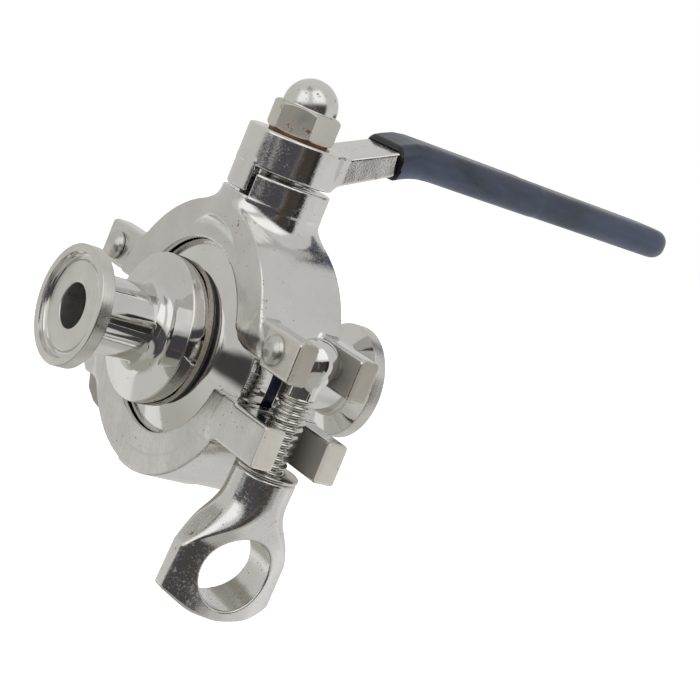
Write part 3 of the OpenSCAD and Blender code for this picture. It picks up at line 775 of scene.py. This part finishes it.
solid("ring_nut_casting", f_nut, (-13.9, -41.6, -47.4), (13.9, -27.4, -15.1), 0.26, "nut", MAT["nut"],
      ("ring_nut",))

# ---------------------------------------------------------------- camera, floor, light
scene = bpy.context.scene
cam_data = bpy.data.cameras.new("camera")
camera = bpy.data.objects.new("camera", cam_data)
scene.collection.objects.link(camera)
cam_data.sensor_width = 36.0
cam_data.lens = 107.80
cam_data.clip_start, cam_data.clip_end = 0.01, 20
CAMERA_AT = (-0.24443, -0.35879, 0.07178)
CAMERA_TURN = ((0.76407066, -0.22012161, -0.60641777),
               (-0.52413636, 0.33623797, -0.78244815),
               (0.37613443, 0.91569127, 0.14153582))
camera.matrix_world = Matrix.Translation(CAMERA_AT) @ Matrix(CAMERA_TURN).to_4x4()
scene.camera = camera

floor_mesh = bpy.data.meshes.new("floor")
floor_mesh.from_pydata([(-3, -3, -0.16), (3, -3, -0.16), (3, 3, -0.16), (-3, 3, -0.16)], [], [(0, 1, 2, 3)])
floor = bpy.data.objects.new("floor", floor_mesh)
scene.collection.objects.link(floor)
fm = Nodes("pale_floor")
fm.set(Base_Color=fm.mix(fm.noise(3), (0.93, 0.93, 0.93), (0.97, 0.97, 0.97)), Roughness=0.9)
fm.put(fm.bsdf.inputs["Emission Color"], (1, 1, 1, 1))
fm.put(fm.bsdf.inputs["Emission Strength"], 0.6)
floor_mesh.materials.append(fm.mat)
floor.visible_glossy = False


# ---------------------------------------------------------------- studio, as seen in polished steel
# Soft panels on a sphere round the object: azimuth and elevation in degrees. Azimuth 0 is the side that
# the photographer stands on and positive is to their right; the axes below turn that sphere into the
# object's own frame, once.
STUDIO_RIGHT, STUDIO_UP, STUDIO_FRONT = [tuple(row[i] for row in CAMERA_TURN) for i in range(3)]
PANELS = [  # azimuth range, elevation range, softness, colour
    (-165, -58, -95, 62, 14, (0.62, 0.615, 0.59)),
    (-165, -55, -95, -12, 12, (0.40, 0.385, 0.34)),
    (-126, -111, -20, 11.5, 1.2, (0.86, 0.855, 0.83)),
    (75, 170, -62, -8, 8, (0.70, 0.70, 0.68)),
    (112, 150, -48, -25, 6, (0.84, 0.84, 0.82)),
    (-58, 72, -95, -31, 6, (0.46, 0.45, 0.42)),
    (-190, 190, -95, -66, 8, (0.5, 0.49, 0.46)),
    (-56, -6, 13, 62, 5, (1.10, 1.10, 1.09)),
    (14, 70, 10, 60, 5, (1.15, 1.15, 1.13)),
    (70, 128, 6, 60, 6, (0.64, 0.64, 0.62)),
    (-28, 24, 62, 95, 8, (0.35, 0.35, 0.35)),
    (-61, 20, -36, 3, 4, (0.078, 0.075, 0.083)),
    (-61, -38, -10, 11, 4, (0.085, 0.083, 0.090)),
    (-75, -58, 3.5, 13.5, 1.8, (0.060, 0.055, 0.055)),
    (20, 71.8, -36, 3, 0.8, (0.060, 0.053, 0.047)),
    (-45, 50, -46, -30, 4, (0.068, 0.062, 0.058)),
    (56, 71.8, -39, 4, 0.8, (0.030, 0.027, 0.025)),
    (23.6, 24.8, -34, -4, 0.6, (0.30, 0.16, 0.08)),
    (-33.2, -32.2, -34, -4, 0.5, (0.34, 0.17, 0.08)),
]
world = bpy.data.worlds.new("studio")
scene.world = world
world.use_nodes = True


class WorldNodes(Nodes):
    def __init__(self, tree):
        self.tree = tree
        self.coord = tree.nodes.new("ShaderNodeTexCoord").outputs["Generated"]

    def step(self, value, at, soft):
        n = self.node("MapRange", interpolation_type="SMOOTHSTEP")
        self.put(n.inputs["Value"], value)
        self.put(n.inputs["From Min"], at - soft)
        self.put(n.inputs["From Max"], at + soft)
        return n.outputs["Result"]

    def band(self, value, lo, hi, soft):
        past = self.math("SUBTRACT", 1.0, self.step(value, hi, soft))
        return self.math("MULTIPLY", self.step(value, lo, soft), past)

    def dot(self, axis):
        n = self.node("VectorMath", operation="DOT_PRODUCT")
        self.put(n.inputs[0], self.coord)
        self.put(n.inputs[1], axis)
        return n.outputs["Value"]


w = WorldNodes(world.node_tree)
azimuth = w.math("DEGREES", w.math("ARCTAN2", w.dot(STUDIO_RIGHT), w.dot(STUDIO_FRONT)))
elevation = w.math("DEGREES", w.math("ARCSINE", w.dot(STUDIO_UP)))
light = (0.66, 0.655, 0.635, 1)
for az0, az1, el0, el1, soft, colour in PANELS:
    mask = w.math("MULTIPLY", w.band(azimuth, az0, az1, soft), w.band(elevation, el0, el1, soft))
    light = w.mix(mask, light[:3] if isinstance(light, tuple) else light, colour)
seen = w.node("LightPath").outputs["Is Camera Ray"]
background = world.node_tree.nodes["Background"]
w.put(background.inputs["Color"], w.mix(seen, light, (1.0, 1.0, 1.0)))
background.inputs["Strength"].default_value = 1.0

scene.view_settings.view_transform = "Standard"
